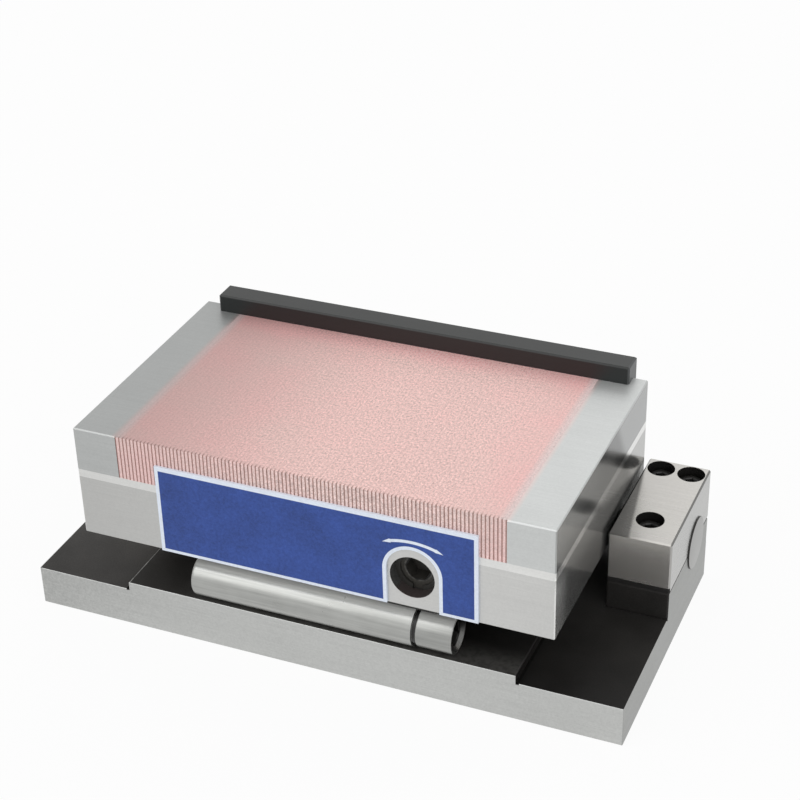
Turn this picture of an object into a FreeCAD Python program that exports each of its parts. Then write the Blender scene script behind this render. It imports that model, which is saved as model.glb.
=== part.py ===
# Single-tilt sine chuck: a permanent-magnet chuck with a fine-pole working face,
# hinged at the rear of its base and resting on a sine roller at the front.
# Millimetres. X runs along the plate, Y from front to rear, Z up.
# The origin is the centre of the base's underside.
import FreeCAD, Part
import math
import os

# Working plate: steel laminations and copper separators between two end rails
plate_length = 175.0
plate_width = 100.0
plate_thickness = 16.5
lamination_thickness = 0.9
separator_thickness = 0.5
separator_inset = 0.15
end_rail_least = 16.0

# Chuck body under the plate
spacer_thickness = 3.0
housing_height = 23.5
housing_floor = 5.0
housing_wall = 12.0
housing_end_wall = 17.0
body_chamfer = 0.4
rail_screw_spread = 64.0
rail_thread_depth = 8.0

# Base
base_overhang = 23.5
base_setback = 2.0
ledge_height = 15.5
land_rise = 3.0
ledge_width = 37.5
base_chamfer = 0.25
block_chamfer = 0.6
relief_width = 1.2
relief_depth = 0.6

# Tilt geometry
roll_diameter = 15.0
roller_left_reach = 2.75
roller_right_reach = 7.8
roller_setback = 7.2
roller_edge = 0.6
plug_length = 15.1
plug_groove = 1.4
plug_groove_depth = 1.0
plug_spigot_diameter = 6.8
plug_spigot_length = 9.0
sine_length = 80.0
under_gap = 5.0
shaft_edge = 0.4
shaft_relief = 0.5
shaft_end_play = 0.2
bearing_plug_diameter = 19.4
bearing_plug_thickness = 3.0
bearing_plug_edge = 0.4
bearing_plug_rise = 1.0

# Bearing blocks at both ends of the pivot shaft
side_clearance = 0.8
block_front_reach = 33.3
cap_height = 20.4
cap_screw_spacing = 11.1
cap_front_margin = 12.3
cap_bore_wall = 1.9
cap_rear_margin = 5.8
cap_counterbore_depth = 8.0
cap_screw_length = 22.0

# Sine plate under the chuck
sine_plate_width = 88.0
sine_plate_clearance = 3.0
sine_pocket_wall = 7.5
sine_pocket_web = 6.5
sine_flange_lip = 1.5
sine_screw_spread = 50.0
sine_screw_inset = 12.5
roll_thread_depth = 4.5

# Switch spindle, quarter turn
spindle_x = 38.0
spindle_rise = 12.3
spindle_bore = 16.0
spindle_step_bore = 12.8
spindle_step = 2.0
spindle_recess = 5.6
spindle_throw = 90.0
hex_socket = 8.0
hex_depth = 5.0
ring_thickness = 1.0
ring_inner = 12.6
ring_groove_depth = 0.45
ring_play = 0.03
ring_opening = 3.8

# Rack and pinion that shift the magnets
gear_module = 0.8
pinion_teeth = 12
pressure_angle = 25.0
tooth_thinning = 0.06
tooth_clearance = 0.16
pinion_face = 13.0
flank_steps = 3
rack_body = 2.7
rack_margin = 8.0
pinion_gap = 0.6

# Magnet pack
magnet_thickness = 8.0
pack_gap = 0.15
pack_top_gap = 0.1
rack_pin_diameter = 3.0
rack_pin_margin = 3.3
rack_pin_sink = 0.3
carrier_floor = 2.0
carrier_wall = 2.5
bar_fit = 0.03

# Stop rail at the rear of the plate
rail_left_inset = 8.0
rail_right_inset = 5.4
rail_overlap = 5.8
rail_height = 6.8
rail_leg = 3.2
rail_leg_drop = 13.0
rail_chamfer = 0.6
rail_screw_inset = 12.0

# Name plate on the front, left blank
label_left = -56.1
label_right = 61.5
label_rise = 0.4
label_height = 34.6
label_thickness = 0.9
arch_offset = 0.4
arch_half_width = 9.4
arch_rise = 2.2

# Socket head cap screws: shank diameter, head diameter, head height, socket size
screw_sizes = {
    "m4": (4.0, 7.0, 4.0, 3.0),
    "m5": (5.0, 8.5, 5.0, 4.0),
}
screw_clearance = 0.1
counterbore_clearance = 0.75
screw_end_gap = 1.0
socket_share = 0.5
countersunk_socket_less = 0.5
running_clearance = 0.03
neck_clearance = 0.1
thread_clearance = 0.03
overshoot = 1.0

# Places worked out from the sizes above
base_length = plate_length + 2 * base_overhang
cap_screw_radius = screw_sizes["m5"][0] / 2 + screw_clearance
rear_screw_reach = roll_diameter / 2 + cap_bore_wall + cap_screw_radius
base_depth = roller_setback - base_setback + sine_length + rear_screw_reach + cap_rear_margin
base_half = base_length / 2
base_front = -base_depth / 2
base_rear = base_depth / 2
land_height = ledge_height + land_rise
land_half = base_half - ledge_width
roll_radius = roll_diameter / 2
axis_height = land_height + roll_radius
sine_plate_bottom = land_height + sine_plate_clearance
chuck_front = base_front - base_setback
chuck_rear = chuck_front + plate_width
plate_half = plate_length / 2
roller_y = chuck_front + roller_setback
pivot_y = roller_y + sine_length
roller_top = axis_height + roll_radius
housing_bottom = roller_top + under_gap
housing_top = housing_bottom + housing_height
plate_bottom = housing_top + spacer_thickness
plate_top = plate_bottom + plate_thickness
cavity_half = plate_half - housing_end_wall
cavity_front = chuck_front + housing_wall
cavity_rear = chuck_rear - housing_wall
cavity_floor = housing_bottom + housing_floor
lamination_pitch = lamination_thickness + separator_thickness
stack_room = plate_length - 2 * end_rail_least - separator_thickness
lamination_count = 2 * int((stack_room / lamination_pitch - 1) / 2) + 1
stack_half = (lamination_count * lamination_pitch + separator_thickness) / 2
rail_width = plate_half - stack_half
block_inner = plate_half + side_clearance
block_middle = (block_inner + base_half) / 2
block_front = pivot_y - block_front_reach
cap_top = axis_height + cap_height
spindle_z = housing_bottom + spindle_rise
pitch_radius = gear_module * pinion_teeth / 2
travel = pitch_radius * math.radians(spindle_throw)
tooth_pitch = math.pi * gear_module
addendum = gear_module
dedendum = gear_module + tooth_clearance
spindle_head_end = chuck_front + housing_wall - spindle_step
pinion_front = cavity_front + pinion_gap
pinion_rear = pinion_front + pinion_face
rack_tip = spindle_z + pitch_radius - addendum
rack_root = spindle_z + pitch_radius + dedendum
rack_top = rack_root + rack_body
rack_left = spindle_x - travel - rack_margin
rack_right = spindle_x + rack_margin


def block(x, y, z):
    """A box from three (low, high) pairs."""
    size = [high - low for low, high in (x, y, z)]
    return Part.makeBox(*size, FreeCAD.Vector(x[0], y[0], z[0]))


def rod(radius, start, reach):
    """A cylinder from the point start along the vector reach."""
    along = FreeCAD.Vector(*reach)
    return Part.makeCylinder(radius, along.Length, FreeCAD.Vector(*start), along)


def chamfered(shape, size, wanted):
    """The shape with a chamfer on the edges that wanted() picks."""
    edges = [edge for edge in shape.Edges if wanted(edge)]
    return shape.makeChamfer(size, edges)


def group(solids):
    return Part.makeCompound(solids)


def rests_at(edge, axis, place):
    """Whether both ends of an edge have the given coordinate."""
    return all(abs(getattr(vertex.Point, axis) - place) < 1e-4 for vertex in edge.Vertexes)


def hexagon(across_flats, start, reach):
    """A hexagonal prism from the point start along the vector reach, for a key socket."""
    corner = across_flats / math.sqrt(3)
    along = FreeCAD.Vector(*reach)
    turn = FreeCAD.Rotation(FreeCAD.Vector(0, 0, 1), along)
    points = []
    for step in range(7):
        angle = math.radians(60 * step)
        flat = FreeCAD.Vector(corner * math.cos(angle), corner * math.sin(angle), 0)
        points.append(FreeCAD.Vector(*start) + turn.multVec(flat))
    return Part.Face(Part.makePolygon(points)).extrude(along)


def cap_screw(size, seat, reach):
    """A socket head cap screw. seat is where the head's underside bears; reach is its shank."""
    shank, head, head_height, socket = screw_sizes[size]
    along = FreeCAD.Vector(*reach)
    back = FreeCAD.Vector(along).normalize() * -head_height
    start = FreeCAD.Vector(*seat)
    screw = rod(shank / 2, start, along).fuse(rod(head / 2, start, back))
    depth = back * socket_share
    recess = hexagon(socket, start + back, depth * -1)
    return screw.cut(recess).removeSplitter()


def countersunk_screw(size, seat, reach):
    """A countersunk screw. seat is the middle of its head's flat top; reach is its whole length."""
    shank, head, head_height, socket = screw_sizes[size]
    along = FreeCAD.Vector(*reach)
    start = FreeCAD.Vector(*seat)
    cone = Part.makeCone(head / 2, shank / 2, (head - shank) / 2, start, along)
    depth = FreeCAD.Vector(along).normalize() * (socket_share * head_height)
    recess = hexagon(socket - countersunk_socket_less, seat, depth)
    return rod(shank / 2, seat, reach).fuse(cone).cut(recess).removeSplitter()


def countersunk_hole(size, seat, reach):
    """The clearance hole for a countersunk screw, with its cone."""
    shank, head, head_height, socket = screw_sizes[size]
    start = FreeCAD.Vector(*seat)
    low = shank / 2 + screw_clearance
    high = head / 2 + screw_clearance
    cone = Part.makeCone(high, low, high - low, start, FreeCAD.Vector(*reach))
    return shank_hole(size, seat, reach).fuse(cone)


def shank_hole(size, seat, reach):
    """The hole for a screw's shank, as long as the shank."""
    return rod(screw_sizes[size][0] / 2 + screw_clearance, seat, reach)


def thread_hole(size, seat, reach):
    return rod(screw_sizes[size][0] / 2 + thread_clearance, seat, reach)


def base_slab():
    """The base: a slab with a raised land, side ledges and relief grooves at the step feet."""
    depth = (base_front, base_rear)
    slab = block((-base_half, base_half), depth, (0, ledge_height))
    slab = chamfered(slab, base_chamfer, lambda edge: True)
    land = block((-land_half, land_half), depth, (ledge_height / 2, land_height))
    land = chamfered(land, base_chamfer, lambda edge: rests_at(edge, "z", land_height))
    body = slab.fuse(land)
    for side in (-1, 1):
        x = sorted((side * land_half, side * (land_half + relief_width)))
        body = body.cut(block(x, depth, (ledge_height - relief_depth, ledge_height + overshoot)))
    return body


def bearing_block(side, low, high, sharp):
    """One bearing block between two heights, chamfered but for its edges at the height sharp."""
    x = sorted((side * block_inner, side * base_half))
    shape = block(x, (block_front, base_rear), (low, high))
    return chamfered(shape, block_chamfer, lambda edge: not rests_at(edge, "z", sharp))


def cap_screw_places(side):
    """The three screws of a bearing cap: one in front of the shaft, two behind it."""
    behind = pivot_y + rear_screw_reach
    half = side * cap_screw_spacing / 2
    middle = side * block_middle
    return [
        (middle, block_front + cap_front_margin),
        (middle - half, behind),
        (middle + half, behind),
    ]


def pivot_bore():
    """The bore for the shaft through both bearing blocks, wider at its ends for the plugs."""
    start = (-base_half, pivot_y, axis_height)
    bore = rod(roll_radius + running_clearance, start, (base_length, 0, 0))
    for side in (-1, 1):
        seat = (side * (base_half - bearing_plug_thickness), pivot_y, axis_height)
        reach = (side * (bearing_plug_thickness + overshoot), 0, 0)
        bore = bore.fuse(rod(bearing_plug_diameter / 2 + thread_clearance, seat, reach))
    return bore


def bearing_plugs():
    """The discs that close the bearing bores and stand a little proud of the blocks."""
    plugs = []
    for side in (-1, 1):
        face = side * (base_half + bearing_plug_rise)
        reach = -side * (bearing_plug_thickness + bearing_plug_rise)
        plug = rod(bearing_plug_diameter / 2, (face, pivot_y, axis_height), (reach, 0, 0))
        plug = chamfered(plug, bearing_plug_edge, lambda edge: (
            edge.Closed and rests_at(edge, "x", face)
        ))
        plugs.append(plug)
    return group(plugs)


def base_plate():
    body = base_slab()
    for side in (-1, 1):
        body = body.fuse(bearing_block(side, 0, axis_height, ledge_height))
        x = sorted((side * block_inner, side * base_half))
        groove_y = (block_front - relief_width, block_front)
        body = body.cut(block(x, groove_y, (ledge_height - relief_depth, ledge_height)))
    body = body.cut(pivot_bore())
    start = (-block_inner, pivot_y, axis_height)
    body = body.cut(rod(roll_radius + shaft_relief, start, (2 * block_inner, 0, 0)))
    for side in (-1, 1):
        for x, y in cap_screw_places(side):
            seat = (x, y, cap_top - cap_counterbore_depth)
            body = body.cut(thread_hole("m5", seat, (0, 0, -cap_screw_length)))
    return body.removeSplitter()


def hinge_cap(side):
    body = bearing_block(side, axis_height, cap_top, ledge_height)
    body = body.cut(pivot_bore())
    seat_height = cap_top - cap_counterbore_depth
    head_radius = screw_sizes["m5"][1] / 2 + counterbore_clearance
    for x, y in cap_screw_places(side):
        seat = (x, y, seat_height)
        body = body.cut(rod(head_radius, seat, (0, 0, cap_counterbore_depth + overshoot)))
        body = body.cut(shank_hole("m5", seat, (0, 0, -cap_screw_length)))
    return body


def hinge_cap_screws():
    seat_height = cap_top - cap_counterbore_depth
    screws = []
    for side in (-1, 1):
        for x, y in cap_screw_places(side):
            screws.append(cap_screw("m5", (x, y, seat_height), (0, 0, screw_end_gap - cap_screw_length)))
    return group(screws)


def pivot_shaft():
    """The rear roll, which turns in the bearing blocks."""
    half = base_half - bearing_plug_thickness - shaft_end_play
    shaft = rod(roll_radius, (-half, pivot_y, axis_height), (2 * half, 0, 0))
    shaft = chamfered(shaft, shaft_edge, lambda edge: edge.Closed and len(edge.Vertexes) == 1)
    for x in sine_screw_places():
        shaft = shaft.cut(thread_hole("m4", *shaft_screw(x)))
    return shaft


def sine_screw_places():
    return (-sine_screw_spread / 2, sine_screw_spread / 2)


def sine_wall_front():
    return roller_y + roll_radius


def sine_wall_rear():
    return pivot_y - roll_radius


def roller_screw(x):
    """Seat and shank of a screw from the sine plate's pocket into the roller."""
    seat = (x, sine_wall_front() + sine_pocket_wall, axis_height)
    return seat, (0, -(sine_pocket_wall + roll_thread_depth), 0)


def shaft_screw(x):
    seat = (x, sine_wall_rear() - sine_pocket_wall, axis_height)
    return seat, (0, sine_pocket_wall + roll_thread_depth, 0)


def plate_screw_places():
    """The four screws that hold the sine plate to the chuck's underside."""
    front = sine_wall_front() + sine_pocket_wall + sine_screw_inset
    rear = sine_wall_rear() - sine_pocket_wall - sine_screw_inset
    return [(x, y) for x in sine_screw_places() for y in (front, rear)]


def plate_screw(x, y):
    seat = (x, y, housing_bottom - sine_pocket_web)
    return seat, (0, 0, sine_pocket_web + housing_floor - screw_end_gap)


def sine_plate():
    """The plate under the chuck, stepped at both ends to seat the roller and the shaft."""
    half = sine_plate_width / 2
    body_y = (sine_wall_front(), sine_wall_rear())
    body = block((-half, half), body_y, (sine_plate_bottom, housing_bottom))
    front_lip = (roller_y - sine_flange_lip, body_y[0])
    body = body.fuse(block((-half, half), front_lip, (roller_top, housing_bottom)))
    rear_lip = (body_y[1], pivot_y + sine_flange_lip)
    shaft_top = axis_height + roll_radius
    body = body.fuse(block((-half, half), rear_lip, (shaft_top, housing_bottom)))
    pocket_half = half - sine_pocket_wall
    pocket_y = (body_y[0] + sine_pocket_wall, body_y[1] - sine_pocket_wall)
    pocket_z = (sine_plate_bottom - overshoot, housing_bottom - sine_pocket_web)
    body = body.cut(block((-pocket_half, pocket_half), pocket_y, pocket_z))
    for x in sine_screw_places():
        body = body.cut(shank_hole("m4", *roller_screw(x)))
        body = body.cut(shank_hole("m4", *shaft_screw(x)))
    for x, y in plate_screw_places():
        body = body.cut(countersunk_hole("m5", *plate_screw(x, y)))
    return body.removeSplitter()


def roller_ends():
    half = sine_plate_width / 2
    return -half - roller_left_reach, half + roller_right_reach


def turned_roller(left, right, outer):
    """A length of the roller, with the edge of its outer end broken."""
    body = rod(roll_radius, (left, roller_y, axis_height), (right - left, 0, 0))
    return chamfered(body, roller_edge, lambda edge: edge.Closed and rests_at(edge, "x", outer))


def sine_roller():
    """The roller, with a groove and a bore at its right end for the plug."""
    left, right = roller_ends()
    joint = right - plug_length
    body = turned_roller(left, joint, left)
    start = (joint, roller_y, axis_height)
    body = body.fuse(rod(roll_radius - plug_groove_depth, start, (plug_groove, 0, 0)))
    for reach in (plug_groove, -plug_spigot_length):
        body = body.cut(rod(plug_spigot_diameter / 2, start, (reach, 0, 0)))
    for x in sine_screw_places():
        body = body.cut(thread_hole("m4", *roller_screw(x)))
    return body.removeSplitter()


def roller_end_plug():
    """The plug screwed into the roller's end, with a key socket in its face."""
    left, right = roller_ends()
    shoulder = right - plug_length + plug_groove
    body = turned_roller(shoulder, right, right)
    start = (shoulder, roller_y, axis_height)
    radius = plug_spigot_diameter / 2 - thread_clearance
    body = body.fuse(rod(radius, start, (-plug_spigot_length, 0, 0)))
    socket = hexagon(hex_socket, (right, roller_y, axis_height), (-hex_depth, 0, 0))
    return body.cut(socket).removeSplitter()


def roller_screws():
    return group([cap_screw("m4", *roller_screw(x)) for x in sine_screw_places()])


def shaft_screws():
    return group([cap_screw("m4", *shaft_screw(x)) for x in sine_screw_places()])


def sine_plate_screws():
    return group([countersunk_screw("m5", *plate_screw(x, y)) for x, y in plate_screw_places()])


def top_screw_places():
    """The screws that draw the end rails down on the housing, two at each end."""
    x = plate_half - rail_width / 2
    middle = (chuck_front + chuck_rear) / 2
    places = (middle - rail_screw_spread / 2, middle + rail_screw_spread / 2)
    return [(side * x, y) for side in (-1, 1) for y in places]


def top_screw(x, y):
    reach = housing_height + spacer_thickness + rail_thread_depth
    return (x, y, housing_bottom), (0, 0, reach)


def housing():
    """The lower body: a tray for the magnet pack with the switch bore in its front wall."""
    body = block(
        (-plate_half, plate_half), (chuck_front, chuck_rear), (housing_bottom, housing_top)
    )
    body = chamfered(body, body_chamfer, lambda edge: not rests_at(edge, "z", housing_top))
    body = body.cut(block(
        (-cavity_half, cavity_half), (cavity_front, cavity_rear), (cavity_floor, housing_top + overshoot)
    ))
    bore_start = (spindle_x, chuck_front, spindle_z)
    body = body.cut(rod(spindle_bore / 2, bore_start, (0, spindle_head_end - chuck_front, 0)))
    body = body.cut(rod(spindle_step_bore / 2, bore_start, (0, housing_wall, 0)))
    groove = (spindle_x, ring_front(), spindle_z)
    body = body.cut(rod(spindle_bore / 2 + ring_groove_depth, groove, (0, ring_thickness, 0)))
    for x, y in top_screw_places():
        body = body.cut(countersunk_hole("m5", *top_screw(x, y)))
    for x, y in plate_screw_places():
        body = body.cut(thread_hole("m5", *plate_screw(x, y)))
    return body


def spacer_frame():
    """The pale frame between housing and plate; open in the middle for the magnets."""
    body = block(
        (-plate_half, plate_half), (chuck_front, chuck_rear), (housing_top, plate_bottom)
    )
    body = chamfered(body, body_chamfer, lambda edge: (
        not rests_at(edge, "z", housing_top) and not rests_at(edge, "z", plate_bottom)
    ))
    body = body.cut(block(
        (-cavity_half, cavity_half), (cavity_front, cavity_rear), (housing_top, plate_bottom)
    ))
    for x, y in top_screw_places():
        body = body.cut(shank_hole("m5", *top_screw(x, y)))
    return body


def top_screws():
    return group([countersunk_screw("m5", *top_screw(x, y)) for x, y in top_screw_places()])


def end_rail(side):
    x = sorted((side * stack_half, side * plate_half))
    body = block(x, (chuck_front, chuck_rear), (plate_bottom, plate_top))
    body = chamfered(body, body_chamfer, lambda edge: (
        not rests_at(edge, "z", plate_bottom) and not rests_at(edge, "x", side * stack_half)
    ))
    for place_x, y in top_screw_places():
        if place_x * side > 0:
            body = body.cut(thread_hole("m5", *top_screw(place_x, y)))
    return body.cut(thread_hole("m4", *rail_screw(side)))


def pole_laminations():
    first = -(lamination_count - 1) / 2
    bars = []
    for index in range(lamination_count):
        middle = (first + index) * lamination_pitch
        x = (middle - lamination_thickness / 2, middle + lamination_thickness / 2)
        bars.append(block(x, (chuck_front, chuck_rear), (plate_bottom, plate_top)))
    return group(bars)


def pole_separators():
    """Copper strips between the laminations, ground a little behind their front edges."""
    y = (chuck_front + separator_inset, chuck_rear - separator_inset)
    strips = []
    for index in range(lamination_count + 1):
        left = index * lamination_pitch - stack_half
        strips.append(block((left, left + separator_thickness), y, (plate_bottom, plate_top)))
    return group(strips)


def ring_front():
    return chuck_front + spindle_recess - ring_thickness


def retaining_ring():
    """A C-shaped ring in the bore's groove, in front of the spindle."""
    radius = spindle_bore / 2 + ring_groove_depth - ring_play
    start = (spindle_x, ring_front() + ring_play, spindle_z)
    reach = (0, ring_thickness - 2 * ring_play, 0)
    body = rod(radius, start, reach).cut(rod(ring_inner / 2, start, reach))
    opening = block(
        (spindle_x - ring_opening / 2, spindle_x + ring_opening / 2),
        (start[1], start[1] + ring_thickness),
        (spindle_z - spindle_bore, spindle_z),
    )
    return body.cut(opening)


def involute_point(radius, base_radius, half_angle):
    """A point on an involute flank, half_angle from the tooth's middle at the pitch circle."""
    unwound = math.acos(base_radius / radius)
    at_pitch = math.radians(pressure_angle)
    shift = (math.tan(unwound) - unwound) - (math.tan(at_pitch) - at_pitch)
    return half_angle - shift


def pinion():
    """Involute teeth. A tooth points straight up when the switch is off."""
    base_radius = pitch_radius * math.cos(math.radians(pressure_angle))
    root_radius = pitch_radius - dedendum
    tip_radius = pitch_radius + addendum
    half_angle = math.pi / (2 * pinion_teeth) - tooth_thinning / (2 * pitch_radius)
    start_radius = max(base_radius, root_radius)
    flank = []
    for step in range(flank_steps + 1):
        radius = start_radius + (tip_radius - start_radius) * step / flank_steps
        flank.append((radius, involute_point(radius, base_radius, half_angle)))
    points = []
    for tooth in range(pinion_teeth):
        middle = math.pi / 2 - 2 * math.pi * tooth / pinion_teeth
        root_angle = flank[0][1]
        outline = [(root_radius, middle + root_angle)]
        outline += [(radius, middle + angle) for radius, angle in flank]
        outline += [(radius, middle - angle) for radius, angle in reversed(flank)]
        outline.append((root_radius, middle - root_angle))
        points += outline
    vectors = [
        FreeCAD.Vector(
            spindle_x + radius * math.cos(angle),
            pinion_front,
            spindle_z + radius * math.sin(angle),
        )
        for radius, angle in points
    ]
    face = Part.Face(Part.makePolygon(vectors + vectors[:1]))
    return face.extrude(FreeCAD.Vector(0, pinion_face, 0))


def switch_spindle():
    head_start = (spindle_x, chuck_front + spindle_recess, spindle_z)
    head_length = spindle_head_end - running_clearance - head_start[1]
    body = rod(spindle_bore / 2 - running_clearance, head_start, (0, head_length, 0))
    neck_radius = spindle_step_bore / 2 - neck_clearance
    body = body.fuse(rod(neck_radius, head_start, (0, pinion_front - head_start[1], 0)))
    body = body.fuse(pinion())
    socket = hexagon(hex_socket, head_start, (0, hex_depth, 0))
    return body.cut(socket).removeSplitter()


def drive_rack():
    """Straight-sided teeth on the underside, in mesh with the pinion's top tooth."""
    lean = math.tan(math.radians(pressure_angle))
    pitch_line = spindle_z + pitch_radius
    half = tooth_pitch / 4 - tooth_thinning / 2
    y = (pinion_front, pinion_rear)
    body = block((rack_left, rack_right), y, (rack_root, rack_top))
    first = math.ceil((rack_left - spindle_x) / tooth_pitch - 0.5)
    last = math.floor((rack_right - spindle_x) / tooth_pitch - 0.5)
    for index in range(first, last):
        middle = spindle_x + (index + 0.5) * tooth_pitch
        wide = half + dedendum * lean
        narrow = half - addendum * lean
        corners = (
            (middle - wide, rack_root),
            (middle - narrow, rack_tip),
            (middle + narrow, rack_tip),
            (middle + wide, rack_root),
            (middle - wide, rack_root),
        )
        outline = Part.makePolygon([FreeCAD.Vector(x, y[0], z) for x, z in corners])
        tooth = Part.Face(outline).extrude(FreeCAD.Vector(0, pinion_face, 0))
        body = body.fuse(tooth)
    for place in rack_pin_places():
        body = body.cut(rack_pin_hole(*place))
    return body.removeSplitter()


def pack_ends():
    left = -cavity_half + pack_gap
    return left, cavity_half - pack_gap - travel


def pack_heights():
    return cavity_floor + pack_gap, plate_bottom - pack_top_gap


def rack_pin_places():
    middle = (pinion_front + pinion_rear) / 2
    return [(rack_left + rack_pin_margin, middle), (rack_right - rack_pin_margin, middle)]


def rack_pin(x, y):
    """A pin down through the carrier into the rack, sunk at both ends."""
    bottom = rack_root + rack_pin_sink
    top = pack_heights()[1] - rack_pin_sink
    return rod(rack_pin_diameter / 2, (x, y, bottom), (0, 0, top - bottom))


def rack_pin_hole(x, y):
    """The blind hole for a pin, open at the top of the carrier."""
    bottom = rack_root + rack_pin_sink
    reach = pack_heights()[1] - bottom
    return rod(rack_pin_diameter / 2 + thread_clearance, (x, y, bottom), (0, 0, reach))


def bar_layout():
    """Magnets and iron bars in turn along X: (low, high, is magnet) for each bar."""
    left, right = pack_ends()
    pitch = 2 * travel
    iron = pitch - magnet_thickness
    room = right - left - 2 * carrier_wall - iron
    count = int(room / pitch)
    place = (left + right - count * pitch - iron) / 2
    bars = [(place, place + iron, False)]
    for index in range(count):
        place = bars[-1][1]
        bars.append((place, place + magnet_thickness, True))
        bars.append((place + magnet_thickness, place + pitch, False))
    return bars


def bar_front(low, high):
    """Where a bar begins: behind the rack if it stands over the switch, else at the wall."""
    reach = pinion_gap + carrier_wall / 2
    in_the_way = high > rack_left - reach and low < rack_right + reach
    wall = pinion_rear + pinion_gap if in_the_way else cavity_front + pack_gap
    return wall + carrier_wall


def bar_shape(low, high, fit):
    bottom, top = pack_heights()
    rear = cavity_rear - pack_gap - carrier_wall
    y = (bar_front(low, high) + fit, rear - fit)
    return block((low, high), y, (bottom + carrier_floor, top))


def magnet_carrier():
    """The tray that holds the magnets, bridged over the pinion to carry the rack."""
    bottom, top = pack_heights()
    body = block(pack_ends(), (cavity_front + pack_gap, cavity_rear - pack_gap), (bottom, top))
    for low, high, is_magnet in bar_layout():
        body = body.cut(bar_shape(low, high, 0))
    body = body.cut(block(
        (rack_left - pinion_gap, rack_right + pinion_gap),
        (cavity_front, pinion_rear + pinion_gap),
        (bottom - overshoot, rack_top),
    ))
    for place in rack_pin_places():
        body = body.cut(rack_pin_hole(*place))
    return body.removeSplitter()


def magnets():
    return group([bar_shape(a, b, bar_fit) for a, b, is_magnet in bar_layout() if is_magnet])


def flux_bars():
    return group([bar_shape(a, b, bar_fit) for a, b, is_magnet in bar_layout() if not is_magnet])


def rack_pins():
    return group([rack_pin(*place) for place in rack_pin_places()])


def rail_screw(side):
    """Seat and shank of a stop rail screw, which enters the end rail from behind."""
    x = side * (plate_half - rail_screw_inset)
    seat = (x, chuck_rear + rail_leg, plate_top - rail_leg_drop / 2)
    return seat, (0, -(rail_leg + rail_thread_depth), 0)


def stop_rail():
    """An L-shaped rail on the rear edge of the plate, screwed to the plate's rear face."""
    x = (rail_left_inset - plate_half, plate_half - rail_right_inset)
    rear = chuck_rear + rail_leg
    front = chuck_rear - rail_overlap
    body = block(x, (front, rear), (plate_top, plate_top + rail_height))
    body = body.fuse(block(x, (chuck_rear, rear), (plate_top - rail_leg_drop, plate_top)))
    body = body.removeSplitter()
    top = plate_top + rail_height
    body = chamfered(body, rail_chamfer, lambda edge: (
        rests_at(edge, "z", top) or (rests_at(edge, "y", front) and not rests_at(edge, "z", plate_top))
    ))
    for side in (-1, 1):
        body = body.cut(countersunk_hole("m4", *rail_screw(side)))
    return body


def stop_rail_screws():
    return group([countersunk_screw("m4", *rail_screw(side)) for side in (-1, 1)])


def label_plate():
    """A blank plate on the front, with an arch cut out around the switch."""
    y = (chuck_front - label_thickness, chuck_front)
    bottom = housing_bottom + label_rise
    body = block((label_left, label_right), y, (bottom, bottom + label_height))
    arch_x = spindle_x + arch_offset
    arch_z = spindle_z + arch_rise
    body = body.cut(rod(arch_half_width, (arch_x, y[0], arch_z), (0, label_thickness, 0)))
    body = body.cut(block(
        (arch_x - arch_half_width, arch_x + arch_half_width), y, (housing_bottom, arch_z)
    ))
    return body


def build():
    os.makedirs("parts", exist_ok=True)
    nodes = {
        "base_plate": base_plate(),
        "hinge_cap_left": hinge_cap(-1),
        "hinge_cap_right": hinge_cap(1),
        "hinge_cap_screws": hinge_cap_screws(),
        "bearing_plugs": bearing_plugs(),
        "pivot_shaft": pivot_shaft(),
        "sine_plate": sine_plate(),
        "sine_roller": sine_roller(),
        "roller_end_plug": roller_end_plug(),
        "roller_screws": roller_screws(),
        "shaft_screws": shaft_screws(),
        "sine_plate_screws": sine_plate_screws(),
        "chuck_housing": housing(),
        "spacer_frame": spacer_frame(),
        "end_rail_left": end_rail(-1),
        "end_rail_right": end_rail(1),
        "pole_laminations": pole_laminations(),
        "pole_separators": pole_separators(),
        "top_plate_screws": top_screws(),
        "switch_spindle": switch_spindle(),
        "spindle_retaining_ring": retaining_ring(),
        "drive_rack": drive_rack(),
        "rack_pins": rack_pins(),
        "magnet_carrier": magnet_carrier(),
        "magnets": magnets(),
        "flux_bars": flux_bars(),
        "stop_rail": stop_rail(),
        "stop_rail_screws": stop_rail_screws(),
        "label_plate": label_plate(),
    }
    for name, shape in nodes.items():
        shape.exportStep("parts/" + name + ".step")
        print(name, len(shape.Solids), "solids,", round(shape.Volume / 1000, 2), "cm3")


build()
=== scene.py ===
import math

import bpy
import numpy as np
from mathutils import Matrix, Vector


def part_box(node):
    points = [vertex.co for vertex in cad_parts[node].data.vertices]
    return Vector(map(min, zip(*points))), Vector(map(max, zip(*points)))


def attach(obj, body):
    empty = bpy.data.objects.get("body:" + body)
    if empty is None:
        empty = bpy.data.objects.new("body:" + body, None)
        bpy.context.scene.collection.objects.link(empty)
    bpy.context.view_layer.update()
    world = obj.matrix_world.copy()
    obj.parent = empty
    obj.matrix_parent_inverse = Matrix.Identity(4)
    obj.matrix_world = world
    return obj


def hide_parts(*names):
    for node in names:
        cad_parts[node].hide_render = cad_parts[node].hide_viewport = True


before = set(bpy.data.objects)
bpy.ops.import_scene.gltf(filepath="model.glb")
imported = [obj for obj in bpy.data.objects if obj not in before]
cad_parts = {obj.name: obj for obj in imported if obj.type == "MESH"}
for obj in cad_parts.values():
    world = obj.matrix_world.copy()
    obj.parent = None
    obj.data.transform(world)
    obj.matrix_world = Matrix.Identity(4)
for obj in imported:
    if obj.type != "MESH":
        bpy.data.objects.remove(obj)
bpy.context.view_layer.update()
mm = 0.001  # in metres


def say(words):
    print("scene:", words)


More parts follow.
